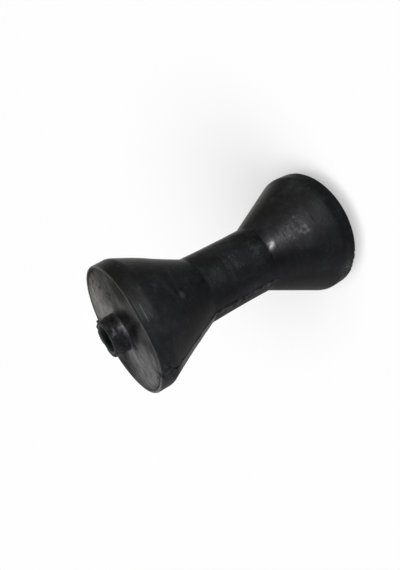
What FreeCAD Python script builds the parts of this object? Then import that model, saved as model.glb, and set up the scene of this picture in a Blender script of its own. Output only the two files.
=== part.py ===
import FreeCAD, Part
import math
import os

os.makedirs("parts", exist_ok=True)

# Boat trailer keel roller, one solid rubber moulding, in millimetres.
# +Z runs along the bore. The roller stands on the plain hub at z = 0, and the worn hub is at the top.

# ---- driving dimensions ----
overall_length = 174.0          # hub end to hub end
hub_height = 10.4               # how far each hub stands out of its end face
hub_diameter = 24.2
bore_diameter = 17.0            # for a 16 mm spindle
rim_diameter = 84.0             # widest, at the corner between rim band and cone
rim_edge_diameter = 83.3        # at the end face: the band has a little draft
rim_band_width = 10.3           # end face to the corner of band and cone
barrel_diameter = 44.8
barrel_length = 49.3            # between the roots of the two cones
barrel_offset = -0.7            # the barrel sits a little nearer to the lower end
corner_radius = 8.0             # band to cone, rounded by the mould
root_radius = 2.0               # cone to barrel
rim_edge_radius = 1.3           # edge of the end face
hub_root_radius = 1.5
hub_edge_radius = 0.7
bore_edge_chamfer = 0.5

fin_height = 0.4                # flash left standing along the mould's parting line
fin_thickness = 1.1
fin_azimuth_deg = -90.0         # the parting plane holds the axis; its two fins are at -Y and +Y

# wear at the top end
nick_azimuth_deg = -90.0        # bite out of the rim's edge, on the parting line
nick_width = 3.6
nick_depth = 1.1
tears = [                       # ragged edge of the top hub: azimuth in degrees, width, depth
    (-24.0, 5.0, 0.8),
    (22.0, 2.4, 0.5),
    (69.0, 3.2, 0.9),
    (101.0, 2.2, 0.6),
    (158.0, 3.4, 0.7),
    (231.0, 2.8, 0.8),
]

# ---- derived positions along the axis ----
z_face_low = hub_height
z_face_high = overall_length - hub_height
z_mid = overall_length / 2.0
z_corner_low = z_face_low + rim_band_width
z_corner_high = z_face_high - rim_band_width
z_root_low = z_mid + barrel_offset - barrel_length / 2.0
z_root_high = z_mid + barrel_offset + barrel_length / 2.0
r_rim = rim_diameter / 2.0
r_edge = rim_edge_diameter / 2.0
r_barrel = barrel_diameter / 2.0
r_hub = hub_diameter / 2.0
r_bore = bore_diameter / 2.0


def rounded_wire(points, radii):
    """Closed wire in the XZ plane through (r, z) points, each corner rounded by its radius."""
    n = len(points)
    corners = []
    for i in range(n):
        p = FreeCAD.Vector(points[i][0], 0, points[i][1])
        before = FreeCAD.Vector(points[i - 1][0], 0, points[i - 1][1])
        after = FreeCAD.Vector(points[(i + 1) % n][0], 0, points[(i + 1) % n][1])
        rho = radii[i]
        if rho <= 0:
            corners.append((p, None, p))
            continue
        u = (before - p).normalize()
        v = (after - p).normalize()
        half = math.acos(max(-1.0, min(1.0, u.dot(v)))) / 2.0
        t = rho / math.tan(half)
        bisector = (u + v).normalize()
        centre = p + bisector * (rho / math.sin(half))
        corners.append((p + u * t, centre - bisector * rho, p + v * t))
    edges = []
    for i in range(n):
        start, middle, end = corners[i]
        if middle is not None:
            edges.append(Part.Arc(start, middle, end).toShape())
        nxt = corners[(i + 1) % n][0]
        if (nxt - end).Length > 1e-6:
            edges.append(Part.LineSegment(end, nxt).toShape())
    return Part.Wire(edges)


def outline(grow):
    """Corner points (r, z) and radii of the outer profile, from the bottom hub's end up to the top hub's end."""
    return [
        (r_hub, 0.0, hub_edge_radius),
        (r_hub, z_face_low, hub_root_radius),
        (r_edge + grow, z_face_low, rim_edge_radius),
        (r_rim + grow, z_corner_low, corner_radius),
        (r_barrel + grow, z_root_low, root_radius),
        (r_barrel + grow, z_root_high, root_radius),
        (r_rim + grow, z_corner_high, corner_radius),
        (r_edge + grow, z_face_high, rim_edge_radius),
        (r_hub, z_face_high, hub_root_radius),
        (r_hub, overall_length, hub_edge_radius),
    ]


axis_point = FreeCAD.Vector(0, 0, 0)
axis_dir = FreeCAD.Vector(0, 0, 1)

# ---- the moulding, turned about its axis with the bore and its chamfers ----
outer = outline(0.0)
profile = [(r, z) for r, z, _ in outer]
radii = [rho for _, _, rho in outer]
profile += [
    (r_bore + bore_edge_chamfer, overall_length),
    (r_bore, overall_length - bore_edge_chamfer),
    (r_bore, bore_edge_chamfer),
    (r_bore + bore_edge_chamfer, 0.0),
]
radii += [0.0, 0.0, 0.0, 0.0]
body = Part.Face(rounded_wire(profile, radii)).revolve(axis_point, axis_dir, 360)

# ---- the parting line's flash: a thin plate through the axis, a little proud of the rims, cones and barrel ----
z_fin_low = z_face_low + rim_edge_radius
z_fin_high = z_face_high - rim_edge_radius
fin_outer = [
    (r_edge + fin_height, z_fin_low, 0.3),
    (r_rim + fin_height, z_corner_low, corner_radius),
    (r_barrel + fin_height, z_root_low, root_radius),
    (r_barrel + fin_height, z_root_high, root_radius),
    (r_rim + fin_height, z_corner_high, corner_radius),
    (r_edge + fin_height, z_fin_high, 0.3),
]
r_inside = (r_bore + r_barrel) / 2.0
fin_profile = [(r_inside, z_fin_low)] + [(r, z) for r, z, _ in fin_outer] + [(r_inside, z_fin_high)]
fin_radii = [0.0] + [rho for _, _, rho in fin_outer] + [0.0]
fin_face = Part.Face(rounded_wire(fin_profile, fin_radii))
fin = fin_face.extrude(FreeCAD.Vector(0, fin_thickness, 0))
fin.translate(FreeCAD.Vector(0, -fin_thickness / 2.0, 0))
for turn in (0.0, 180.0):
    f = fin.copy()
    f.rotate(axis_point, axis_dir, fin_azimuth_deg + turn)
    body = body.fuse(f)

# ---- the nick in the top rim's edge ----
nick = Part.makeBox(6.0, nick_width, 6.0, FreeCAD.Vector(-3.0, -nick_width / 2.0, -3.0))
nick.rotate(axis_point, FreeCAD.Vector(0, 1, 0), 45.0)
nick.translate(FreeCAD.Vector(r_edge + 3.0 * math.sqrt(2) - nick_depth, 0, z_face_high + 0.0))
nick.rotate(axis_point, axis_dir, nick_azimuth_deg)
body = body.cut(nick)

# ---- the ragged outer edge of the top hub ----
for azimuth, width, depth in tears:
    bite = Part.makeBox(4.0, width, 4.0, FreeCAD.Vector(-2.0, -width / 2.0, -2.0))
    bite.rotate(axis_point, FreeCAD.Vector(0, 1, 0), 45.0)
    bite.translate(FreeCAD.Vector(r_hub + 2.0 * math.sqrt(2) - depth, 0, overall_length))
    bite.rotate(axis_point, axis_dir, azimuth)
    body = body.cut(bite)

body = body.removeSplitter()
solids = body.Solids
print("roller: valid", body.isValid(), "solids", len(solids), "volume cm3", round(body.Volume / 1000.0, 2))
box = body.BoundBox
print("box", [round(v, 3) for v in (box.XMin, box.XMax, box.YMin, box.YMax, box.ZMin, box.ZMax)])
solids[0].exportStep("parts/roller.step")
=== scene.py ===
import math

import bpy
import numpy as np
from mathutils import Matrix, Vector


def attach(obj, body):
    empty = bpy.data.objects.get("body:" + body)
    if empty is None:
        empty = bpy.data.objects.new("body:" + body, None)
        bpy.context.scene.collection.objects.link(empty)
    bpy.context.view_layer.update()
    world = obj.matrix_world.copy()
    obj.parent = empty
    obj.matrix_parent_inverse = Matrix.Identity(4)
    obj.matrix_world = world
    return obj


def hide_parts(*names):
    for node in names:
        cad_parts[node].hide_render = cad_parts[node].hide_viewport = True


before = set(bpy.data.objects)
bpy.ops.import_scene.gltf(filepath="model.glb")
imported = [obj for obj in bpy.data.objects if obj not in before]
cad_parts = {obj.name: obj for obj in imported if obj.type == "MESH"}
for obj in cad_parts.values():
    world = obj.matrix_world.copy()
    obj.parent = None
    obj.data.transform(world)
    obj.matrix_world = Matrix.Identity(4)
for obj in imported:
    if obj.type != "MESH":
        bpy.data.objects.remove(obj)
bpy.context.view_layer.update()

MM = 0.001

# ------------------------------------------------------------------ camera
# The photograph's camera: it looks down at the worn end, and it is rolled, because the roller lies on its side there.
cam_data = bpy.data.cameras.new("camera")
cam_data.sensor_width = 36.0
cam_data.lens = 34.809
cam_data.clip_start = 0.01
cam_data.clip_end = 50.0
cam = bpy.data.objects.new("camera", cam_data)
bpy.context.scene.collection.objects.link(cam)
cam.matrix_world = Matrix((
    (-0.00466579, 0.70189575, 0.71226440, 0.248722500),
    (-0.59821645, 0.56880570, -0.56444412, -0.194323314),
    (-0.80132099, -0.42872185, 0.41723166, 0.249914939),
    (0.0, 0.0, 0.0, 1.0),
))
bpy.context.scene.camera = cam

# ------------------------------------------------------------------ dimensions, millimetres
LENGTH = 174.0
HUB_H = 10.4
R_HUB = 12.1
R_BORE = 8.5
R_RIM = 42.0
R_EDGE = 41.65
BAND = 10.3
R_BARREL = 22.4
BARREL_L = 49.3
Z_LOW = HUB_H
Z_HIGH = LENGTH - HUB_H
Z_MID = LENGTH / 2
R_LIP = 1.3


# ------------------------------------------------------------------ seeded smooth noise
def _hash(ix, iy, iz, seed):
    h = (ix.astype(np.int64) * 73856093) ^ (iy.astype(np.int64) * 19349663) ^ (iz.astype(np.int64) * 83492791) ^ np.int64(seed * 2654435761 % 4294967291)
    h = (h ^ (h >> 13)) * 1274126177
    h = h & 0x7FFFFFFF
    h = (h ^ (h >> 16)) * 2246822519
    h = h & 0x7FFFFFFF
    return (h ^ (h >> 15)).astype(np.float64) / 0x7FFFFFFF * 2 - 1


def noise(p, size, seed):
    """Smooth value noise in -1..1 at points p (n, 3), with cells of that size."""
    q = p / size
    i = np.floor(q).astype(np.int64)
    f = q - i
    f = f * f * f * (f * (f * 6 - 15) + 10)
    out = 0
    for dx in (0, 1):
        for dy in (0, 1):
            for dz in (0, 1):
                w = (f[..., 0] if dx else 1 - f[..., 0]) * (f[..., 1] if dy else 1 - f[..., 1]) * (f[..., 2] if dz else 1 - f[..., 2])
                out = out + w * _hash(i[..., 0] + dx, i[..., 1] + dy, i[..., 2] + dz, seed)
    return out


def fractal(p, size, seed, octaves=3):
    out, amp, total = 0, 1.0, 0.0
    for k in range(octaves):
        out = out + amp * noise(p, size / 2 ** k, seed + 17 * k)
        total += amp
        amp *= 0.5
    return out / total


def smooth(x, a, b):
    t = np.clip((x - a) / (b - a), 0, 1)
    return t * t * (3 - 2 * t)


def bump1(x, centre, width):
    return np.exp(-((x - centre) / width) ** 2)


def window(x, a, b, soft):
    return smooth(x, a - soft, a + soft) * (1 - smooth(x, b - soft, b + soft))


def angle(phi, centre):
    """Signed angle from centre, degrees, in -180..180."""
    return (phi - centre + 180.0) % 360.0 - 180.0


# ------------------------------------------------------------------ the turned profile
def rounded(points):
    """Points (r, z, corner radius, spacing to the next point) of a closed outline, as rings (r, z)."""
    n = len(points)
    corners = []
    for k in range(n):
        p = np.array(points[k][:2], float)
        before = np.array(points[k - 1][:2], float)
        after = np.array(points[(k + 1) % n][:2], float)
        rho = points[k][2]
        if rho <= 0:
            corners.append([p])
            continue
        u = (before - p) / np.linalg.norm(before - p)
        v = (after - p) / np.linalg.norm(after - p)
        half = math.acos(max(-1, min(1, float(u @ v)))) / 2
        t = rho / math.tan(half)
        b = (u + v) / np.linalg.norm(u + v)
        centre = p + b * rho / math.sin(half)
        a0 = math.atan2(*((p + u * t - centre)[::-1]))
        a1 = math.atan2(*((p + v * t - centre)[::-1]))
        da = (a1 - a0 + math.pi) % (2 * math.pi) - math.pi
        steps = max(3, int(math.ceil(abs(da) / math.radians(points[k][4]))))
        corners.append([centre + rho * np.array([math.cos(a0 + da * s / steps), math.sin(a0 + da * s / steps)]) for s in range(steps + 1)])
    rings = []
    for k in range(n):
        rings += corners[k]
        start, end = corners[k][-1], corners[(k + 1) % n][0]
        length = float(np.linalg.norm(end - start))
        count = max(1, int(round(length / points[k][3])))
        rings += [start + (end - start) * s / count for s in range(1, count)]
    return np.array(rings)


z_cl, z_ch = Z_LOW + BAND, Z_HIGH - BAND
z_rl, z_rh = Z_MID - 0.7 - BARREL_L / 2, Z_MID - 0.7 + BARREL_L / 2     # the barrel sits a little low
outline = [
    (R_BORE + 0.5, 0.0, 0, 1.0, 0),
    (R_HUB, 0.0, 0.7, 1.1, 18),
    (R_HUB, Z_LOW, 1.5, 1.4, 20),
    (R_EDGE, Z_LOW, R_LIP, 0.62, 15),
    (R_RIM, z_cl, 8.0, 1.1, 4),
    (R_BARREL, z_rl, 2.0, 1.0, 6),
    (R_BARREL, z_rh, 2.0, 1.1, 6),
    (R_RIM, z_ch, 8.0, 0.50, 4),
    (R_EDGE, Z_HIGH, R_LIP, 0.62, 7),
    (R_HUB, Z_HIGH, 1.5, 0.55, 15),
    (R_HUB, LENGTH, 0.7, 0.45, 14),
    (R_BORE + 0.5, LENGTH, 0, 0.4, 0),
    (R_BORE, LENGTH - 0.5, 0, 7.0, 0),
    (R_BORE, 0.5, 0, 0.4, 0),
]
rings = rounded(outline)
NR = len(rings)
nxt, prv = np.roll(rings, -1, 0), np.roll(rings, 1, 0)
tan_f = nxt - rings
tan_b = rings - prv
tan_f /= np.linalg.norm(tan_f, axis=1)[:, None]
tan_b /= np.linalg.norm(tan_b, axis=1)[:, None]
tan = tan_f + tan_b
tan /= np.linalg.norm(tan, axis=1)[:, None]
ring_n = np.column_stack([tan[:, 1], -tan[:, 0]])      # outward: the outline runs up the outside

# columns: finer beside the two parting lines, at -Y and +Y
cols = []
phi_deg = -180.0
while phi_deg < 180.0 - 1e-6:
    d_minus, d_plus = abs(angle(phi_deg, -90.0)), abs(angle(phi_deg, 90.0))
    if d_minus < 2.4:
        step = 0.3
    elif d_minus < 20:
        step = 0.75
    elif d_plus < 2.1:
        step = 0.35
    elif d_plus < 5:
        step = 0.8
    elif abs(angle(phi_deg, -38.0)) < 95:
        step = 1.3
    else:
        step = 1.8
    cols.append(phi_deg)
    phi_deg += step
cols = np.array(cols)
NC = len(cols)

# beside a parting line, columns run parallel to it
r_col = np.clip(rings[:, 0], R_BARREL, R_RIM)
phi = np.repeat(cols[None, :], NR, 0)
for centre in (-90.0, 90.0):
    d = angle(cols, centre)
    near = np.abs(d) < 24
    w = 1 - smooth(np.abs(d), 2.5, 24.0)
    side = np.degrees(np.arcsin(np.clip(R_RIM * np.sin(np.radians(d[None, :])) / r_col[:, None], -0.99, 0.99)))
    bent = w[None, :] * side + (1 - w[None, :]) * d[None, :]
    phi[:, near] = (centre + bent)[:, near]
assert np.all(np.diff(phi, axis=1) > 0)
rad = np.radians(phi)
R0 = np.repeat(rings[:, 0][:, None], NC, 1)
Z0 = np.repeat(rings[:, 1][:, None], NC, 1)
NRr = np.repeat(ring_n[:, 0][:, None], NC, 1)
NRz = np.repeat(ring_n[:, 1][:, None], NC, 1)
P = np.stack([R0 * np.cos(rad), R0 * np.sin(rad), Z0], -1)
N = np.stack([NRr * np.cos(rad), NRr * np.sin(rad), NRz], -1)

# which rings are what
is_bore = R0 < R_BORE + 0.75
is_bore &= (Z0 > -1)
outer_side = (R0 > R_HUB + 1.0) & (Z0 > Z_LOW + 0.2) & (Z0 < Z_HIGH - 0.2)
side_w = outer_side.astype(float)
top_face = (np.abs(Z0 - Z_HIGH) < 0.25) & (R0 > R_HUB + 0.2)
low_face = (np.abs(Z0 - Z_LOW) < 0.25) & (R0 > R_HUB + 0.2)
hub_top = (Z0 > Z_HIGH + 0.3) & ~is_bore

disp = np.zeros_like(R0)
# slow unevenness of the moulding
disp += (0.07 * fractal(P, 21.0, 3, 2) + 0.035 * noise(P, 6.0, 11)) * (~is_bore)
# the barrel is a little waisted, and the near cone bulges on one side and is flattened on another
disp -= 0.30 * side_w * np.clip(1 - ((Z0 - (z_rl + z_rh) / 2) / (BARREL_L / 2)) ** 2, 0, 1)
disp += 0.62 * side_w * bump1(Z0, 139.0, 11.0) * bump1(angle(phi, 32.0), 0.0, 30.0)
disp -= 0.75 * side_w * bump1(Z0, 136.0, 17.0) * bump1(angle(phi, -120.0), 0.0, 22.0)

# ---- parting line: a ridge of flash, with a crease on its camera side at -Y
X = P[..., 0]
for sign, height, seed in ((-1, 0.42, 21), (1, 0.34, 41)):
    on = side_w * (np.sign(P[..., 1]) == sign) * (np.abs(X) < 9)
    along = np.stack([Z0 * 0, Z0 * 0, Z0], -1)
    h = height * (0.85 + 0.55 * noise(along, 5.0, seed) + 0.25 * noise(along, 1.7, seed + 1))
    h = np.clip(h, 0.06, None)
    ends = smooth(Z0, Z_LOW + 0.4, Z_LOW + 1.6) * (1 - smooth(Z0, Z_HIGH - 1.6, Z_HIGH - 0.4))
    wander = 0.10 * noise(along, 9.0, seed + 2)
    ridge = h * bump1(X, wander, 0.42) * (1 - 0.45 * smooth(Z0, 112.0, 118.0))
    on_near = smooth(Z0, 112.0, 118.0)
    crease = -(0.36 - 0.26 * on_near) * bump1(X, 1.0 + wander, 0.42 - 0.12 * on_near)
    step = 0.10 * (1 - smooth(X, -0.3, 0.3)) * (1 - smooth(-X, 2.0, 6.0)) * (1 if sign < 0 else 0.5)
    faint = 0.07 + 0.48 * smooth(Z0, 58.0, 64.0) + 0.45 * smooth(Z0, 80.0, 88.0) + 0.6 * (1 - smooth(Z0, 20.0, 24.0))
    # between the cones the strip of flash is ragged, with gaps torn out of it
    between = smooth(Z0, 60.0, 64.0) * (1 - smooth(Z0, 108.0, 113.0))
    gap = smooth(noise(along, 2.3, seed + 5) + 0.5 * noise(along, 0.9, seed + 6), 0.15, 0.45) * between
    ridge = ridge * (1 - 0.80 * gap)
    crease = crease * (1 + 0.5 * noise(along, 3.1, seed + 7)) - 0.35 * gap * bump1(X, -0.1, 0.6)
    disp += on * ends * faint * (ridge + crease + step)
    # ragged flakes of flash hang on below the line
    flake = fractal(P * np.array([1.0, 1.0, 0.8]), 2.2, seed + 9, 3)
    disp += on * between * window(X, -4.2, 0.2, 0.8) * (0.34 * smooth(flake, 0.02, 0.22) - 0.16 * smooth(-flake, 0.10, 0.35)) * (1.0 if sign < 0 else 0.6)

# ---- the end faces are a little domed
dome_h = 0.34 - 0.80 * smooth(R0, 16.0, 43.0) ** 1.15 * (1 - 0.62 * bump1(angle(phi, -34.0), 0.0, 26.0))
disp += dome_h * top_face + 0.6 * dome_h * low_face

# ---- torn patch where the flash was pulled off the top band, and a smaller one on the bottom band
a_f = angle(phi, -90.0)
torn = np.zeros_like(R0)
edge_noise = fractal(P, 4.0, 61, 3)
u_t = (a_f - (6.0 - (Z_HIGH - Z0) * 1.15)) / 9.8
v_t = (Z0 - 158.0) / 6.0
m_top = 1.0 - (np.abs(u_t) ** 2.6 + np.abs(v_t) ** 2.6) ** (1 / 2.6) + 0.34 * edge_noise + 0.16 * noise(P, 1.3, 63)
m_top = smooth(m_top, -0.02, 0.16) * (Z0 < Z_HIGH + 0.3) * (Z0 > 149.5) * (R0 > 39.0)
m_low = 1.0 - (np.abs((a_f + 2.5) / 8.5) ** 2.4 + np.abs((Z0 - 16.0) / 4.8) ** 2.4) ** (1 / 2.4) + 0.45 * edge_noise + 0.18 * noise(P, 1.3, 64)
m_low = smooth(m_low, -0.02, 0.20) * (Z0 > Z_LOW - 0.3) * (Z0 < 24.0) * (R0 > 39.0)
torn = np.maximum(m_top, m_low)
pits = np.abs(noise(P, 1.7, 71)) * 0.55 + np.clip(noise(P, 3.4, 72), 0, 1) * 0.5
crumb = fractal(P, 1.5, 73, 2)
disp += torn * (0.14 - 0.95 * pits + 0.38 * crumb)
# a torn notch beside the parting line, where the band meets the cone
disp -= 0.7 * side_w * bump1(Z0, 147.6, 1.5) * bump1(a_f, 1.2, 1.5) + 0.6 * side_w * bump1(Z0, 153.4, 1.1) * bump1(a_f, 1.6, 1.6)

# ---- nick in the top rim's edge, on the parting line
edge_top = bump1(np.hypot(R0 - R_EDGE, Z0 - Z_HIGH), 0.0, 1.7) * (~is_bore)
nick = bump1(a_f, 0.3, 2.4)
disp -= 1.15 * nick * edge_top * (1 + 0.4 * noise(P, 1.1, 81))
disp -= 0.95 * top_face * bump1(R0, 39.8, 2.0) * bump1(a_f, 1.6, 1.5) * (1 + 0.4 * noise(P, 0.9, 82))
disp -= 0.45 * top_face * bump1(R0, 37.6, 0.8) * bump1(a_f, -6.0, 2.2)
disp -= 0.40 * top_face * bump1(R0, 37.9, 0.9) * bump1(a_f, -28.8, 1.5)
edge_low = bump1(np.hypot(R0 - R_EDGE, Z0 - Z_LOW), 0.0, 1.4)
for c, w_, d_ in ((-6.5, 1.4, 0.55), (-1.4, 1.5, 0.8), (3.1, 1.5, 0.75), (11.6, 1.2, 0.5)):
    disp -= d_ * bump1(a_f, c, w_) * edge_low
# ---- a lip of flash curls round the rim's edge beside the nick
lip_on = window(a_f, -47.0, -1.6, 1.6) * (0.45 + 0.55 * window(a_f, -31.0, -1.6, 2.5))
r_lip = 41.0 - 0.5 * smooth(-a_f, 24.0, 44.0)
lip = lip_on * np.exp(-((R0 - r_lip) / 0.55) ** 2 - ((Z0 - Z_HIGH + 0.30) / 0.8) ** 2) * (~is_bore)
disp += 0.70 * lip * (1 + 0.30 * noise(P, 1.8, 85))
disp -= 0.50 * lip_on * np.exp(-((R0 - r_lip + 1.5) / 0.65) ** 2) * top_face
b_f = angle(phi, 90.0)
plain_rim = 1 - 0.92 * bump1(angle(phi, -36.0), 0.0, 21.0)
bead = np.exp(-((R0 - 40.75) / 0.55) ** 2) * top_face * (0.7 + 0.5 * noise(P, 7.0, 86))
disp += (0.16 * bead - 0.22 * np.exp(-((R0 - 39.2) / 0.9) ** 2) * top_face * (0.7 + 0.6 * noise(P, 5.0, 87))) * plain_rim
disp += 0.35 * noise(P, 1.4, 83) * bump1(b_f, 0.0, 3.0) * edge_top

# ---- ragged end of the top hub
end = smooth(Z0, LENGTH - 3.2, LENGTH - 0.2) * hub_top * smooth(R0, R_BORE + 1.2, R_HUB - 0.6)
rag = fractal(P, 2.6, 91, 3)
disp -= 0.85 * end * np.clip(rag + 0.12, 0, 1) * 1.3
for c, w_, d_ in ((-24, 9.0, 0.75), (22, 5.0, 0.45), (66, 8.0, 1.35), (101, 5.0, 0.55), (128, 7.0, -0.30), (158, 8.0, 0.35), (231, 6.0, 0.7)):
    disp -= d_ * end * bump1(angle(phi, c), 0.0, w_) * (1 + 0.5 * noise(P, 1.2, 95))
disp += 0.35 * hub_top * bump1(angle(phi, 50.0), 0.0, 9.0) * bump1(np.hypot(R0 - 11.6, Z0 - LENGTH + 0.3), 0.0, 1.0)
hub_wall = hub_top * (R0 > R_HUB - 0.3) * (Z0 < LENGTH - 0.8)
disp += 0.20 * hub_wall * fractal(P, 2.4, 97, 3)
for c, z_, w_, d_ in ((1.5, 169.4, 1.2, 0.38), (-4.0, 172.2, 1.0, 0.30), (11.0, 170.4, 0.9, 0.25), (-30.0, 168.4, 1.3, 0.16), (-62.0, 169.5, 1.5, 0.20)):
    arc = np.radians(angle(phi, c)) * R_HUB
    disp -= d_ * hub_wall * np.exp(-(arc / w_) ** 2 - ((Z0 - z_) / w_) ** 2)

co = (P + N * disp[..., None]).reshape(-1, 3) * MM

# ------------------------------------------------------------------ mesh
idx = np.arange(NR * NC).reshape(NR, NC)
a_ = idx
b_ = np.roll(idx, -1, 1)
c_ = np.roll(np.roll(idx, -1, 0), -1, 1)
d_ = np.roll(idx, -1, 0)
quads = np.stack([a_, b_, c_, d_], -1).reshape(-1, 4)
mesh = bpy.data.meshes.new("rubber_roller")
mesh.from_pydata(co.tolist(), [], quads.tolist())
mesh.update()
mesh.polygons.foreach_set("use_smooth", [True] * len(mesh.polygons))
roller = bpy.data.objects.new("rubber_roller", mesh)
bpy.context.scene.collection.objects.link(roller)


def attribute(name, values):
    layer = mesh.attributes.new(name, "FLOAT", "POINT")
    layer.data.foreach_set("value", np.asarray(values, np.float32).ravel())


face_w = smooth(-np.abs(Z0 - Z_HIGH), -0.55, -0.12) * (R0 > R_HUB + 0.3) + smooth(-np.abs(Z0 - Z_LOW), -0.55, -0.12) * (R0 > R_HUB + 0.3) * 0.9
attribute("end_face", face_w)
attribute("torn", torn)
ridge_w = side_w * ((smooth(-X, -0.5, 0.3) * (1 - smooth(-X, 2.5, 9.0)) * smooth(Z0, 110.0, 113.0) * (1 - smooth(Z0, 146.0, 151.0)) + 0.55 * bump1(X, -1.6, 1.7) * between * smooth(fractal(P * np.array([1.0, 1.0, 0.7]), 2.4, 33, 3), -0.22, 0.22)) * (P[..., 1] < 0)
                    + 0.4 * bump1(X, 0.0, 0.8) * (P[..., 1] > 0) * smooth(Z0, 60.0, 64.0))
attribute("flash_strip", ridge_w)
# a pale line round the top rim's edge, paler on some sides than on others
r_line = 41.30 - 1.15 * bump1(angle(phi, -40.0), 0.0, 24.0) - 0.65 * bump1(angle(phi, -2.0), 0.0, 25.0)
pale_edge = np.exp(-((R0 - r_line) / 0.62) ** 2 - ((Z0 - (Z_HIGH - 0.35)) / 0.75) ** 2) * (~is_bore)
pale_edge *= 0.36 + 0.40 * window(angle(phi, 0.0), 22.0, 70.0, 9.0) + 0.22 * window(angle(phi, 0.0), -40.0, 22.0, 12.0) + 0.34 * window(a_f, -45.0, 38.0, 6.0)
pale_edge *= (1 - 0.9 * bump1(a_f, 1.0, 3.5)) * (1 - 0.80 * bump1(angle(phi, -36.0), 0.0, 13.0))
# the corners of the hub's end and of the bore are painted pale: partly rubbed, partly a painted edge highlight
rub = 0.20 * np.exp(-((R0 - (R_HUB - 0.35)) / 0.45) ** 2 - ((Z0 - LENGTH + 0.25) / 0.5) ** 2) + 0.42 * np.exp(-((R0 - (R_BORE + 0.55)) / 0.30) ** 2 - ((Z0 - LENGTH) / 0.45) ** 2)
rub *= 0.55 + 0.65 * noise(P, 3.0, 98)
attribute("pale_edge", np.clip(np.maximum(np.maximum(pale_edge, 1.15 * lip), rub), 0, 1))
# painted shade along the crease beside the parting line at -Y
crease_shade_w = side_w * (P[..., 1] < 0) * (bump1(X, 1.05, 0.6) * between + 0.5 * bump1(X, 1.0, 0.4) * smooth(Z0, 111.0, 113.0) * (1 - smooth(Z0, 124.0, 140.0)))
attribute("crease_shade", crease_shade_w)
attribute("bore", is_bore * 1.0)
attribute("hub_side", hub_top * 1.0)

# ------------------------------------------------------------------ material: matt black moulded rubber
mat = bpy.data.materials.new("rubber")
mat.use_nodes = True
nt = mat.node_tree
nt.nodes.clear()


def node(kind, **props):
    n = nt.nodes.new(kind)
    for k, v in props.items():
        setattr(n, k, v)
    return n


class Field:
    """A value that varies over the surface, built from nodes by plain arithmetic."""

    def __init__(self, socket):
        self.socket = socket

    def __add__(self, other):
        return calc("ADD", self, other)

    def __sub__(self, other):
        return calc("SUBTRACT", self, other)

    def __mul__(self, other):
        return calc("MULTIPLY", self, other)

    def __truediv__(self, other):
        return calc("DIVIDE", self, other)

    __radd__, __rmul__ = __add__, __mul__

    def __rsub__(self, other):
        return calc("SUBTRACT", other, self)

    def __neg__(self):
        return calc("MULTIPLY", self, -1.0)


def plug(socket, value):
    if isinstance(value, Field):
        nt.links.new(value.socket, socket)
    else:
        socket.default_value = value


def calc(operation, *args):
    n = node("ShaderNodeMath", operation=operation)
    for i_, arg in enumerate(args):
        plug(n.inputs[i_], arg)
    return Field(n.outputs[0])


def ramp(x, lo_, hi_):
    """0 below lo_, 1 above hi_, smooth between."""
    n = node("ShaderNodeMapRange", interpolation_type="SMOOTHSTEP")
    plug(n.inputs["Value"], x)
    n.inputs["From Min"].default_value = lo_
    n.inputs["From Max"].default_value = hi_
    return Field(n.outputs["Result"])


def span(x, lo_, hi_, soft):
    return ramp(x, lo_ - soft, lo_ + soft) * (1.0 - ramp(x, hi_ - soft, hi_ + soft))


def bell(x, centre, width):
    t = (x - centre) * (1.0 / width)
    return calc("EXPONENT", -(t * t))


def vec(x, y, z):
    n = node("ShaderNodeCombineXYZ")
    for socket, value in zip(n.inputs, (x, y, z)):
        plug(socket, value)
    return Field(n.outputs[0])


def cloud(vector, scale, detail=2.0, rough=0.5, offset=0.0):
    """Smooth noise, about -1..1."""
    n = node("ShaderNodeTexNoise")
    v = vector
    if offset:
        move = node("ShaderNodeVectorMath", operation="ADD")
        nt.links.new(vector.socket, move.inputs[0])
        move.inputs[1].default_value = (offset, -offset * 0.7, offset * 1.3)
        v = Field(move.outputs[0])
    nt.links.new(v.socket, n.inputs["Vector"])
    n.inputs["Scale"].default_value = scale
    n.inputs["Detail"].default_value = detail
    n.inputs["Roughness"].default_value = rough
    return (Field(n.outputs["Fac"]) - 0.5) * 2.6


def blend(fac, one, two):
    n = node("ShaderNodeMix", data_type="RGBA")
    plug(n.inputs[0], fac)
    for socket, value in ((n.inputs[6], one), (n.inputs[7], two)):
        if isinstance(value, Field):
            nt.links.new(value.socket, socket)
        else:
            socket.default_value = (*value, 1)
    return Field(n.outputs[2])


def attr(name):
    n = node("ShaderNodeAttribute", attribute_type="GEOMETRY", attribute_name=name)
    return Field(n.outputs["Fac"])


coords = node("ShaderNodeTexCoord")
scale_mm = node("ShaderNodeVectorMath", operation="SCALE")
nt.links.new(coords.outputs["Object"], scale_mm.inputs[0])
scale_mm.inputs["Scale"].default_value = 1000.0
pos = Field(scale_mm.outputs[0])
split = node("ShaderNodeSeparateXYZ")
nt.links.new(pos.socket, split.inputs[0])
x, y, z = (Field(o) for o in split.outputs)
r = calc("SQRT", x * x + y * y)
az = calc("ARCTAN2", y, x) * 57.29578

end_face, torn_f, strip = attr("end_face"), attr("torn"), attr("flash_strip")
pale_edge_f, bore_f, hub_f, crease_shade_f = attr("pale_edge"), attr("bore"), attr("hub_side"), attr("crease_shade")
side = 1.0 - end_face

# noises
broad = cloud(pos, 0.045, 2.0, 0.5)
mottle = cloud(pos, 0.16, 4.0, 0.6, 31.0)
patchy = cloud(pos, 0.30, 3.0, 0.65, 43.0)
fine = cloud(pos, 0.9, 3.0, 0.6, 57.0)
grain = cloud(pos, 2.6, 2.0, 0.55, 11.0)
# turning marks of the mould: rings at constant height, which come and go round the roller
rings_f = cloud(vec(x * 0.035, y * 0.035, z * 1.9), 1.0, 3.0, 0.7, 7.0)
rings_w = cloud(vec(x * 0.03, y * 0.03, z * 0.35), 1.0, 2.0, 0.5, 19.0)
hairline = ramp(cloud(vec(x * 0.05, y * 0.05, z * 0.80), 1.0, 3.0, 0.75, 23.0), 0.13, 0.38)
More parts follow.
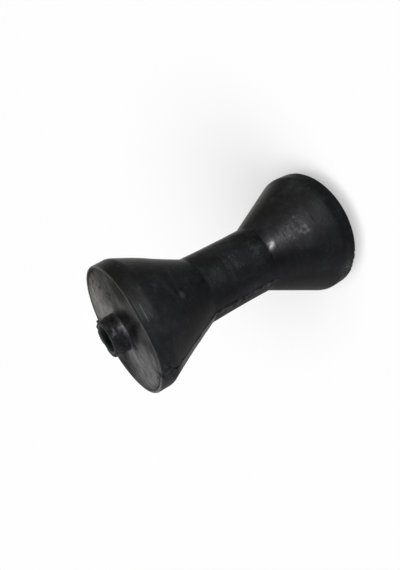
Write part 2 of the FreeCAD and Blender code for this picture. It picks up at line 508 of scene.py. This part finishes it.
# faint drag marks across the end faces, along one direction
along, across = x * 0.616 + y * 0.788, y * 0.616 - x * 0.788
drag = cloud(vec(along * 0.13, across * 0.44, z * 0.3), 1.0, 4.0, 0.72, 3.0)
face_blotch = cloud(pos, 0.11, 4.0, 0.62, 71.0)
fleck = ramp(fine + mottle * 0.5, 0.10, 0.75)


def turn(centre):
    """Degrees round from that azimuth, -180 to 180."""
    return calc("WRAP", az - centre, 180.0, -180.0)


def both(one, two):
    return two if one is None else calc("MAXIMUM", one, two)


# --- scuffed places and scratches, each at its place (height in mm, azimuth in degrees). Some pale patches in the scuff table, on the hub's wall and along the far cone's highlight near its root, are painted highlight.
# far cone: a mottled, scuffed fan from the barrel's root towards the rim, cut off along its lower side; its paler
# colour is partly painted highlight of the front light, with painted glints in its core
fan_u = (az + 29.0) / (17.0 + (61.0 - z) * 0.62)
fan = calc("EXPONENT", -(fan_u * fan_u)) * span(z, 22.5, 62.0, 1.0) * ramp(x + fine * 0.6, 16.0, 18.6)
below_fan = calc("MAXIMUM", bell(z, 58.5, 5.0) * bell(az, -56.0, 11.0), bell(z, 44.0, 13.0) * bell(az, -66.0, 12.0) * 0.45)
# a bright spot where the far cone meets the barrel: painted highlight of the front light in the fillet, on a scuff
root_highlight_and_scuff = bell(z + fine * 0.45, 59.2, 1.8) * bell(az + (z - 59.0) * 1.4 + fine * 1.2, -31.2, 3.9)
core = bell(z, 48.0, 13.0) * bell(az + 30.0 + (z - 50.0) * 0.25, 0.0, 9.0)
glints = ramp(cloud(vec(x * 1.0, y * 1.0, z * 1.3), 1.0, 2.0, 0.6, 91.0) + patchy * 0.35, 0.15, 0.80) * core
fan_marks = cloud(vec(x * 0.30, y * 0.30, z * 0.75), 1.0, 4.0, 0.7, 53.0)
fan_spots = ramp(fan_marks + fine * 0.3, -0.45, 0.70)
scuffs_and_sheen = (
    # z, azimuth, half height, half width in degrees, strength
    (38.9, -34.9, 3.6, 7.0, 0.75),
    (57.8, -28.0, 3.2, 9.0, 0.7),
    (52.0, -27.5, 3.0, 5.0, 0.5),
    (88.5, -27.0, 5.0, 17.0, 0.55),
    (102.5, -33.0, 5.0, 11.0, 0.50),
    (69.0, -21.0, 5.0, 10.0, 0.45),
    (83.0, -80.0, 7.0, 8.0, 0.60),
    (159.8, -35.0, 2.2, 6.0, 0.20),
    (158.9, -38.7, 1.0, 1.7, 0.45),
    (132.4, -34.8, 1.8, 4.2, 0.5),
    (18.4, -91.5, 4.4, 8.0, 0.9),
    (13.6, -87.5, 1.8, 4.0, 0.8),
    (170.5, -23.4, 1.0, 6.0, 0.95),
    (170.9, -38.0, 1.2, 7.0, 0.7),
    (166.9, -27.0, 0.9, 9.0, 0.6),
    (166.6, -70.0, 1.2, 14.0, 0.4),
)
scuff_and_sheen = None
for z_, a_c, hz, ha, amount in scuffs_and_sheen:
    scuff_and_sheen = both(scuff_and_sheen, bell(z, z_, hz) * bell(az, a_c, ha) * amount)
scuff_and_sheen = scuff_and_sheen * side
scuff_and_sheen_m = scuff_and_sheen * (0.35 + fleck * 0.9)

# small pale sparks, painted glints in the far cone's highlight, and small dark spots with a soft edge
sparks = (
    # z, azimuth, radius mm, strength
    (47.8, -32.6, 0.8, 0.5), (46.3, -38.2, 0.7, 0.4), (45.0, -21.7, 0.8, 0.4), (39.7, -16.8, 0.8, 0.4),
    (37.5, -32.3, 1.1, 0.75), (41.2, -34.8, 1.0, 0.6), (37.0, -37.8, 1.1, 0.75), (39.6, -38.9, 0.9, 0.5),
    (159.4, -38.6, 0.7, 0.14),
)
spark = None
for z_, a_c, w_, amount in sparks:
    spark = both(spark, bell(z + fine * 0.35, z_, w_) * bell((az - a_c) * 0.6, 0.0, w_) * amount)
spark = spark * side * (0.5 + 0.5 * ramp(grain + fine, -0.5, 0.6))
dark_spots = (
    (130.4, -29.0, 1.6, 2.0, 0.8), (134.6, -30.0, 1.0, 3.2, 0.8), (127.0, -31.0, 1.8, 1.6, 0.5), (66.5, -14.0, 3.0, 5.0, 0.7), (72.0, -24.0, 2.0, 2.5, 0.5), (112.6, -29.9, 1.6, 3.0, 0.7), (64.0, -10.0, 2.6, 6.0, 0.85), (38.9, -34.9, 0.9, 1.5, 0.8),
    (153.4, -88.0, 1.2, 2.0, 0.9), (147.4, -88.6, 1.3, 2.2, 0.9), (172.4, -3.6, 0.9, 4.5, 0.8), (168.6, 2.2, 1.3, 5.5, 1.0), (167.4, -15.0, 0.8, 5.0, 0.9), (171.8, -20.0, 0.7, 5.0, 0.6), (169.0, -36.0, 0.8, 5.0, 0.6), (171.6, -48.0, 0.8, 5.0, 0.5),
    (172.2, 12.0, 0.8, 4.0, 0.7), (167.1, 11.5, 0.9, 4.0, 0.6), (98.0, -66.0, 5.0, 9.0, 0.4), (120.0, -60.0, 7.0, 8.0, 0.3),
)
dark = None
for z_, a_c, hz, ha, amount in dark_spots:
    dark = both(dark, bell(z + fine * 0.4, z_, hz) * bell(az, a_c, ha) * amount)
dark = calc("MAXIMUM", dark * side, below_fan * 0.75)

# broad lighter and darker places; the darker ones at the two cone-barrel junctions and on the far cone's lower side
# are painted shade
paler = None
for z_, a_c, hz, ha, amount in ((149.0, -46.0, 10.0, 17.0, 0.26), (160.0, -57.0, 3.5, 12.0, 0.18), (89.0, 11.0, 13.0, 11.0, 0.42), (97.5, -42.0, 6.0, 8.0, 0.24), (78.5, -34.0, 5.5, 16.0, 0.20),
                                (24.0, 12.0, 9.0, 10.0, 0.32), (38.5, -51.0, 7.0, 6.5, 0.36)):
    paler = both(paler, bell(z, z_, hz) * bell(az, a_c, ha) * amount)
darker_and_shade = None
for z_, a_c, hz, ha, amount in ((60.5, 0.0, 3.0, 10.0, 0.45), (112.0, -20.0, 4.5, 11.0, 0.40), (22.0, -36.0, 3.5, 9.0, 0.45), (43.0, -97.0, 13.0, 7.0, 0.62), (52.0, -58.0, 9.0, 8.0, 0.30), (159.0, -22.0, 3.2, 7.0, 0.36), (131.0, 2.0, 10.0, 12.0, 0.16), (118.5, -22.0, 6.0, 14.0, 0.14)):
    darker_and_shade = both(darker_and_shade, bell(z, z_, hz) * bell(az, a_c, ha) * amount)
paler, darker_and_shade = paler * side * (0.6 + 0.4 * ramp(patchy + mottle, -0.6, 0.6)), darker_and_shade * side

# a blistered ring, about 4 mm across, on the far cone
ring_u = (az + 34.9) * 0.56
ring_r = calc("SQRT", (z - 38.9) * (z - 38.9) + ring_u * ring_u) + fine * 0.5
blister = bell(ring_r, 1.9, 0.55) * (0.55 + 0.45 * ramp(fine + mottle, -0.6, 0.4))

scratches = (
    # z at start, azimuth at start, z at end, azimuth at end, half width mm, strength
    (159.7, -26.8, 160.0, -41.0, 0.32, 0.56),
    (157.7, -32.5, 156.9, -39.8, 0.20, 0.34),
    (161.4, -29.0, 158.2, -31.5, 0.18, 0.22),
    (119.0, 31.0, 127.0, 26.0, 0.25, 0.3),
    (86.8, -20.0, 87.3, -31.0, 0.22, 0.30),
    (91.2, -24.0, 90.8, -33.0, 0.18, 0.22),
)
scratch = None
for z0_, a0_, z1_, a1_, w_, amount in scratches:
    t_ = (az - a0_) * (1.0 / (a1_ - a0_))
    line = bell(z - (t_ * (z1_ - z0_) + z0_) + fine * 0.12, 0.0, w_) * span(t_, 0.0, 1.0, 0.12) * amount
    scratch = both(scratch, line)
scratch = scratch * (0.28 + 0.72 * ramp(grain * 0.6 + fine * 0.8, -0.5, 0.45)) * side

gouges = (
    (89.6, -14.0, 89.1, -42.0, 0.40, 1.0),
    (61.6, -38.0, 61.4, -50.0, 0.5, 0.3),
    (92.8, -20.0, 92.4, -36.0, 0.15, 0.4),
    (71.0, -12.0, 66.5, -24.0, 0.30, 0.5),
    (114.5, 18.5, 128.0, 25.5, 0.35, 0.6),
    (162.5, -33.0, 162.5, -79.0, 0.30, 0.7),
    (18.9, -84.0, 18.1, -97.0, 0.35, 0.9),
)
gouge = None
for z0_, a0_, z1_, a1_, w_, amount in gouges:
    t_ = (az - a0_) * (1.0 / (a1_ - a0_))
    line = bell(z - (t_ * (z1_ - z0_) + z0_) + fine * 0.14, 0.0, w_) * span(t_, 0.0, 1.0, 0.12) * amount
    gouge = both(gouge, line)
gouge = gouge * side

# rubbed patches on the barrel: fine marks that run round it
rub_marks = cloud(vec(x * 0.22, y * 0.22, z * 1.25), 1.0, 3.0, 0.75, 37.0)
rub_where = None
for z_, a_c, hz, ha, amount in ((88.0, -28.0, 7.0, 20.0, 1.0), (102.0, -34.0, 6.5, 14.0, 0.8), (70.0, -22.0, 7.0, 14.0, 0.85), (82.0, -80.0, 8.0, 11.0, 0.8), (88.0, 50.0, 26.0, 15.0, 1.2), (140.0, 45.0, 14.0, 16.0, 0.4)):
    rub_where = both(rub_where, bell(z, z_, hz) * bell(az, a_c, ha) * amount)
rub_light = rub_where * ramp(rub_marks + mottle * 0.4 + fine * 0.3, 0.0, 0.70) * side
rub_dark = rub_where * ramp(rub_marks + mottle * 0.3 + fine * 0.3, -0.10, -0.70) * side

# torn, crumpled rubber on the barrel beside its root
crinkle = cloud(vec(x * 0.50, y * 0.50, z * 0.75), 1.0, 4.0, 0.68, 83.0)
crumple = calc("MAXIMUM", bell(z, 66.5, 4.6) * bell(az, -17.0, 13.0), bell(z, 72.0, 4.0) * bell(az, -27.0, 7.0) * 0.7) * side

# --- dusty top end face: creamy on one side, bluish on another, nearly clean on the third. It is also painted reflection: the face is painted paler where it mirrors the lit reflector cards, and left dark on the clean side beside the hub, where it mirrors the hub.
cream_dust_and_sheen = calc("EXPONENT", -(turn(88.0) * turn(88.0) * (1.0 / 2500.0)))
blue_dust_and_sheen = calc("EXPONENT", -(turn(-108.0) * turn(-108.0) * (1.0 / 1700.0)))
smear = ramp(face_blotch * 0.9 + drag * 1.1 + patchy * 0.25, -0.80, 0.80)
dust_and_sheen = calc("MINIMUM", (cream_dust_and_sheen * 0.62 + blue_dust_and_sheen * 0.62) * (0.15 + 0.95 * smear) + smear * 0.02, 1.0)
face_marks = (
    # radius mm, azimuth, half width mm, half width in degrees
    (28.8, 44.0, 0.8, 6.0), (25.2, 24.0, 0.7, 7.0), (22.0, 23.0, 0.6, 7.0), (34.5, 60.0, 0.8, 6.0), (37.7, -118.6, 1.0, 2.4), (37.6, -96.0, 0.8, 2.6),
)
mark = None
for r_, a_c, hr, ha in face_marks:
    mark = both(mark, bell(r + fine * 0.5, r_, hr) * bell(turn(a_c), 0.0, ha))
bright_marks = ((25.8, 86.0, 1.3, 4.0), (24.6, 100.0, 1.3, 4.0), (33.5, 96.0, 1.6, 4.0))
lit = None
for r_, a_c, hr, ha in bright_marks:
    lit = both(lit, bell(r + fine * 0.6, r_, hr) * bell(turn(a_c), 0.0, ha))
streak = bell(turn(-77.0) + fine * 1.2, 0.0, 1.1) * span(r, 18.0, 31.0, 1.5)
streak = calc("MAXIMUM", streak, bell(turn(-70.0) - (r - 26.0) * -1.5 + fine * 1.0, 0.0, 1.0) * span(r, 26.0, 32.0, 1.0))
rim_ring = span(r + fine * 0.4, 38.6, 40.2, 0.5) * ramp(cream_dust_and_sheen + blue_dust_and_sheen, 0.15, 0.6)

# --- colour
olive, blue = (0.0125, 0.0128, 0.0116), (0.0165, 0.0170, 0.0200)
black = blend(ramp(broad * 0.8 + mottle * 0.25 - (az + 22.0) * 0.013, -0.6, 0.7), olive, blue)
film = ramp(mottle * 0.8 + fine * 0.6 + patchy * 0.5 + broad * 0.4, -0.05, 0.85) * 0.55 * side
deep = ramp(mottle * 0.7 + patchy * 0.5 + broad * 0.5, -0.10, -0.90) * side
black = blend(deep * 0.80, black, (0.0055, 0.0062, 0.0053))
black = blend(film, black, (0.0430, 0.0455, 0.0510))
black = blend(rub_dark * 0.8, blend(rub_light * 0.9, black, (0.092, 0.099, 0.113)), (0.0050, 0.0055, 0.0050))
black = blend(hairline * 0.22 * side, black, (0.050, 0.050, 0.056))
creamy, bluish = (0.150, 0.146, 0.134), (0.150, 0.150, 0.176)
tint = blue_dust_and_sheen / (cream_dust_and_sheen + blue_dust_and_sheen + 0.02)
# top end face: dusty, and painted reflection
faces = blend(dust_and_sheen, (0.0095, 0.0095, 0.0095), blend(tint, creamy, bluish))
faces = blend(calc("MINIMUM", mark + rim_ring * 0.60 + streak * 0.5, 1.0) * 0.75, faces, (0.020, 0.020, 0.021))
black = blend(crumple * ramp(crinkle, 0.10, 0.55) * 0.62, black, (0.088, 0.093, 0.098))
black = blend(crumple * ramp(crinkle, 0.02, -0.40) * 0.95, black, (0.0035, 0.0038, 0.0035))
faces = blend(lit * (0.30 + 0.35 * ramp(fine + patchy * 0.5, -0.4, 0.4)), faces, (0.28, 0.28, 0.266))
# broad darker places, partly painted shade, and broad lighter ones
black = blend(darker_and_shade, blend(paler, black, (0.054, 0.056, 0.060)), (0.0045, 0.0048, 0.0045))
colour = blend(end_face, black, faces)
# the fan's paler colour: partly scuffing, partly painted highlight of the front light
colour = blend(fan * (0.04 + 0.06 * ramp(z, 34.0, 46.0) + 0.20 * fan_spots * ramp(z, 22.0, 46.0) + core * 0.26) * (1.0 - 0.9 * hairline), colour, (0.076, 0.073, 0.091))
colour = blend(fan * hairline * 0.80, colour, (0.0060, 0.0060, 0.0065))
# pale scuffs, partly painted highlight on the hub's wall and near the far cone's root
colour = blend(calc("MINIMUM", scuff_and_sheen_m * 0.6, 1.0), colour, (0.130, 0.134, 0.150))
colour = blend(calc("MINIMUM", dark, 1.0) * 0.88, colour, (0.0040, 0.0040, 0.0040))
# painted glints and sparks in the far cone's highlight, with the blister ring's own pale colour
colour = blend(calc("MINIMUM", spark * 0.8 + blister * 0.42 + glints * 0.80, 1.0), colour, (0.240, 0.240, 0.255))
# painted highlight at the far cone's root
colour = blend(calc("MINIMUM", root_highlight_and_scuff * 1.15, 1.0), colour, (0.400, 0.400, 0.418))
smudge = bell(z + fine * 0.5, 132.4, 1.5) * bell(az + patchy * 1.5, -34.8, 3.4)
colour = blend(smudge * (0.10 + 0.45 * ramp(grain + fine, -0.5, 0.6)), colour, (0.120, 0.128, 0.112))
colour = blend(scratch, colour, (0.180, 0.187, 0.197))
colour = blend(gouge * 0.8, colour, (0.005, 0.005, 0.005))
torn_tone = ramp(patchy * 0.9 + fine * 0.7, -0.35, 0.55)
colour = blend(torn_f * 0.95, colour, blend(torn_tone, (0.0035, 0.0040, 0.0040), (0.078, 0.104, 0.108)))
# painted shade in the hollows of the torn patch and in the notches beside the parting line
hollow_shade = None
for z_, a_c, hz, ha, amount in ((153.4, -87.4, 1.5, 2.6, 1.0), (147.4, -88.7, 1.3, 2.0, 1.0), (162.4, -88.5, 1.0, 3.4, 0.9), (158.0, -79.0, 1.4, 1.8, 0.7), (160.2, -84.0, 0.9, 2.2, 0.7), (155.5, -96.0, 1.1, 3.0, 0.6)):
    hollow_shade = both(hollow_shade, bell(z + fine * 0.5, z_, hz) * bell(az + patchy * 0.8, a_c, ha) * amount)
hollow_shade = calc("MINIMUM", hollow_shade * 1.25, 1.0) * side
colour = blend(hollow_shade, colour, (0.0028, 0.0030, 0.0030))
low_scuff = bell(z, 16.5, 4.0) * bell(az, -91.5, 7.5) * ramp(patchy + fine * 0.6, -0.45, 0.35)
colour = blend(low_scuff * 0.9, colour, (0.270, 0.275, 0.275))
# painted reflection of the pale reflector cards: a lighter band on the near cone just above the parting line at -Y
beside = bell(x, 4.2, 3.4) * span(z, 112.0, 150.0, 2.0) * (1.0 - ramp(y, -2.0, 0.0))
colour = blend(beside * (0.30 + 0.25 * ramp(patchy + fine * 0.5, -0.5, 0.5)), colour, (0.052, 0.054, 0.060))
# the strip of flash below the parting line is painted pale: painted reflection of the lit cards at a grazing angle
colour = blend(strip * (0.50 + 0.50 * ramp(fine + patchy * 0.6, -0.4, 0.5)) * (1.0 - 0.25 * ramp(z, 126.0, 132.0)), colour, (0.280, 0.286, 0.300))
# painted shade in the crease beside the parting line
colour = blend(crease_shade_f * (0.55 + 0.45 * fleck), colour, (0.0045, 0.0045, 0.0045))
hub_end = hub_f * ramp(z, 173.0, 173.6)
# painted highlight of the front light in the fillet at the hub's root
hub_root_highlight = (1.0 - ramp(z + fine * 0.5, 165.1, 167.2)) * ramp(z, 163.9, 164.3) * (1.0 - ramp(r, 13.6, 14.4))
colour = blend(hub_root_highlight * (bell(az, -40.0, 17.0) + bell(az, -20.0, 40.0) * 0.25) * (0.50 + 0.4 * fleck), colour, (0.185, 0.184, 0.194))
colour = blend(hub_f * (1.0 - hub_end) * ramp(fine + patchy * 0.5, 0.0, 0.8) * 0.35, colour, (0.085, 0.088, 0.104))
colour = blend(hub_end * 0.6, colour, (0.010, 0.010, 0.010))
# pale edges: the top rim's line, the lip of flash, and the hub and bore corners, whose paleness is partly a painted
# edge highlight
colour = blend(pale_edge_f * (0.65 + 0.35 * ramp(mottle + fine * 0.6, -0.5, 0.4)), colour, (0.250, 0.252, 0.246))
# the bore's wall: a paler colour that stands in for light reaching into the bore, with painted shade darkening it
# deeper in from the top end
wall = blend(ramp(mottle + fine * 0.5, -0.4, 0.5), (0.035, 0.0375, 0.0425), (0.085, 0.0875, 0.105))
colour = blend(bore_f, colour, blend(ramp(z, 164.0, 170.5), (0.012, 0.0125, 0.0135), wall))

# --- roughness
root_polish = bell(z, 59.8, 2.6) * bell(az, -29.0, 9.0)
rim_dull = bell(az, -20.0, 30.0) * (1.0 - ramp(z, 27.0, 45.0)) * ramp(z, 19.0, 22.0)
rough = (0.47 + rim_dull * 0.14 + mottle * 0.05 + patchy * 0.03 + rings_f * 0.04 - root_polish * 0.20 - root_highlight_and_scuff * 0.10 - scuff_and_sheen * fleck * 0.06 + torn_f * 0.10 - hub_f * 0.10
         + hub_end * 0.30 - hub_root_highlight * 0.12 - strip * 0.14 - fan * 0.05)
gloss = calc("MAXIMUM", calc("EXPONENT", -(turn(88.0) * turn(88.0) * (1.0 / 2600.0))), calc("EXPONENT", -(turn(-116.0) * turn(-116.0) * (1.0 / 1800.0))) * 0.92)
clean = calc("EXPONENT", -(turn(-38.0) * turn(-38.0) * (1.0 / 1100.0)))
outer = ramp(r, 29.0, 37.0)
dull_face = (ramp(r, 26.0, 34.0) * bell(turn(-8.0), 0.0, 18.0) * 0.36 + outer * bell(turn(48.0), 0.0, 20.0) * 0.12 + ramp(r, 35.0, 38.5) * bell(turn(58.0), 0.0, 22.0) * 0.20
             - bell(turn(92.0), 0.0, 15.0) * span(r, 21.0, 34.0, 2.0) * 0.06 + ramp(r, 23.0, 31.0) * bell(turn(-59.0), 0.0, 10.0) * 0.38
             + bell(turn(-88.0), 0.0, 22.0) * (1.0 - ramp(r, 15.5, 20.0)) * 0.34 - bell(turn(36.0), 0.0, 24.0) * (1.0 - ramp(r, 18.0, 24.0)) * 0.17
             + bell(turn(180.0), 0.0, 13.0) * (1.0 - ramp(r, 35.0, 39.0)) * 0.28)
rough_face = 0.50 - gloss * 0.29 - clean * 0.34 + dull_face + (1.0 - smear) * (0.27 - clean * 0.22) + mark * 0.25 + rim_ring * 0.22
rough = rough * side + rough_face * end_face

# --- relief
quiet = end_face * (1.0 - clean * 0.92)
height = ((grain * 0.009 + fine * 0.030) * (side + quiet * 0.35) + rings_f * 0.014 * side + drag * 0.10 * quiet + face_blotch * 0.14 * quiet
          + patchy * 0.020 * side + mottle * 0.045 * side + scratch * 0.03 - gouge * 0.12 + scuff_and_sheen * fleck * 0.05
          + fan * (1.0 - root_highlight_and_scuff) * (fan_marks * 0.075 + fine * 0.020 - hairline * 0.055) + blister * 0.24 + spark * 0.06 - dark * 0.05
          + (rub_light - rub_dark) * 0.06 + crumple * crinkle * 0.16 + hub_f * (patchy * 0.05 + fine * 0.02)
          + torn_f * fine * 0.14 + streak * -0.05 * end_face)
relief = node("ShaderNodeBump")
relief.inputs["Strength"].default_value = 1.0
relief.inputs["Distance"].default_value = 0.001
plug(relief.inputs["Height"], height)

out = node("ShaderNodeOutputMaterial")
bsdf = node("ShaderNodeBsdfPrincipled")
nt.links.new(bsdf.outputs[0], out.inputs[0])
nt.links.new(colour.socket, bsdf.inputs["Base Color"])
plug(bsdf.inputs["Roughness"], rough)
bsdf.inputs["Specular IOR Level"].default_value = 0.2
nt.links.new(relief.outputs[0], bsdf.inputs["Normal"])
mesh.materials.append(mat)

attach(roller, "root")
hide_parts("roller")

# ------------------------------------------------------------------ stage
def plane(name, corners):
    m = bpy.data.meshes.new(name)
    m.from_pydata(corners, [], [(0, 1, 2, 3)])
    o = bpy.data.objects.new(name, m)
    bpy.context.scene.collection.objects.link(o)
    return o


def plain_material(name, color, glow):
    m = bpy.data.materials.new(name)
    m.use_nodes = True
    b = m.node_tree.nodes["Principled BSDF"]
    b.inputs["Base Color"].default_value = (*color, 1)
    b.inputs["Roughness"].default_value = 1.0
    b.inputs["Specular IOR Level"].default_value = 0.0
    b.inputs["Emission Color"].default_value = (1.0, 1.0, 1.0, 1)
    b.inputs["Emission Strength"].default_value = glow
    return m


def camera_only(o):
    o.visible_diffuse = False
    o.visible_glossy = False
    o.visible_transmission = False
    o.visible_volume_scatter = False
    o.visible_shadow = False


floor = plane("floor", [(-4, -4, 0), (4, -4, 0), (4, 4, 0), (-4, 4, 0)])
floor.data.materials.append(plain_material("floor", (0.55, 0.55, 0.55), 0.43))
camera_only(floor)

# pale surround, seen by the camera only
dome_mesh = bpy.data.meshes.new("surround")
dv, df = [], []
for k in range(9):
    for s_ in range(32):
        el, az = math.radians(-8 + 98 * k / 8.001), 2 * math.pi * s_ / 32
        dv.append((3.9 * math.cos(el) * math.cos(az), 3.9 * math.cos(el) * math.sin(az), 3.9 * math.sin(el)))
for k in range(8):
    for s_ in range(32):
        t_ = (s_ + 1) % 32
        df.append((k * 32 + s_, k * 32 + t_, (k + 1) * 32 + t_, (k + 1) * 32 + s_))
dome_mesh.from_pydata(dv, [], df)
dome = bpy.data.objects.new("surround", dome_mesh)
bpy.context.scene.collection.objects.link(dome)
dome.data.materials.append(plain_material("surround", (0.0, 0.0, 0.0), 0.989))
camera_only(dome)

# white reflector cards along the -X side, hidden from the camera, throw the front light back at the roller; the back
# and end cards also glow a little on their own, as soft lamps
bright_card = plane("reflector_back", [(-0.0428, 0.068, -0.5), (-0.0428, 0.7, -0.5), (-0.0428, 0.7, 0.166), (-0.0428, 0.068, 0.166)])
bright_card.data.materials.append(plain_material("reflector_back", (0.80, 0.79, 0.765), 0.70))
end_card = plane("reflector_end", [(-0.0428, -0.7, 0.166), (-0.0428, 0.7, 0.166), (-0.0428, 0.7, 0.8), (-0.0428, -0.7, 0.8)])
end_card.data.materials.append(plain_material("reflector_end", (0.80, 0.79, 0.775), 0.20))
front_card = plane("reflector_front", [(-0.0428, -0.7, -0.5), (-0.0428, 0.068, -0.5), (-0.0428, 0.068, 0.166), (-0.0428, -0.7, 0.166)])
front_card.data.materials.append(plain_material("reflector_front", (0.53, 0.525, 0.51), 0.0))
cards = [bright_card, end_card, front_card]
for card in cards:
    card.visible_camera = False
    card.visible_shadow = False
    card.visible_diffuse = False


def linked(name, objects):
    c = bpy.data.collections.new(name)
    for o in objects:
        c.objects.link(o)
    return c


def area(name, location, target, size, size_y, power, color=(1, 1, 1), lights=None):
    data = bpy.data.lights.new(name, "AREA")
    data.shape = "RECTANGLE"
    data.size = size
    data.size_y = size_y
    data.energy = power
    data.color = color
    o = bpy.data.objects.new(name, data)
    bpy.context.scene.collection.objects.link(o)
    o.location = location
    o.rotation_euler = (Vector(target) - Vector(location)).to_track_quat("-Z", "Y").to_euler()
    o.visible_camera = False
    if lights is not None:
        o.light_linking.receiver_collection = lights
    return o


on_object = linked("lit_object", [roller])
on_card = linked("lit_card", cards)
on_floor = linked("lit_floor", [floor])
# the photograph's front light, a little above and to the right of its camera
front = area("front_light", (0.340, -0.128, 0.185), (0.0, 0.0, 0.087), 0.06, 0.035, 0.84, lights=on_object)
card_light = area("card_light", (0.68, -0.256, 0.283), (0.0, 0.0, 0.087), 0.12, 0.07, 5.6, lights=on_card)
card_light.light_linking.blocker_collection = on_card
# soft studio light for the other sides: from above, from behind and from the left
top_soft = area("top_soft", (0.0, 0.0, 1.3), (0.0, 0.0, 0.1), 0.8, 0.8, 2.0, lights=on_object)
back_soft = area("back_soft", (-0.9, 0.8, 0.5), (0.0, 0.0, 0.09), 1.0, 1.0, 9.4, lights=on_object)
back_soft.visible_glossy = False
back_rim = area("back_rim", (-0.9, 0.8, 0.5), (0.0, 0.0, 0.09), 1.0, 1.0, 0.15, lights=on_object)
left_soft = area("left_soft", (-0.9, -0.7, 0.4), (0.0, 0.0, 0.09), 1.0, 1.0, 1.6, lights=on_object)
upper_soft = area("upper_soft", (0.5, 0.9, 0.4), (0.0, 0.0, 0.09), 1.0, 1.0, 4.0, lights=on_object)
upper_soft.visible_glossy = False
# broad light from above, for the floor's soft shadow
sun = bpy.data.lights.new("overhead_light", "SUN")
sun.energy = math.pi * 1.17
sun.angle = 1.1
overhead = bpy.data.objects.new("overhead_light", sun)
bpy.context.scene.collection.objects.link(overhead)
overhead.rotation_euler = (Vector((0, 0, 0)) - Vector((0.35, -0.5, 1.0))).to_track_quat("-Z", "Y").to_euler()
overhead.light_linking.receiver_collection = on_floor

world = bpy.data.worlds.new("world")
bpy.context.scene.world = world
world.use_nodes = True
bg = world.node_tree.nodes["Background"]
bg.inputs[0].default_value = (1, 1, 1, 1)
bg.inputs[1].default_value = 0.02

bpy.context.scene.view_settings.view_transform = "Standard"

# ------------------------------------------------------------------ sizes
bpy.context.view_layer.update()
print("rings", NR, "columns", NC, "triangles", NR * NC * 2)
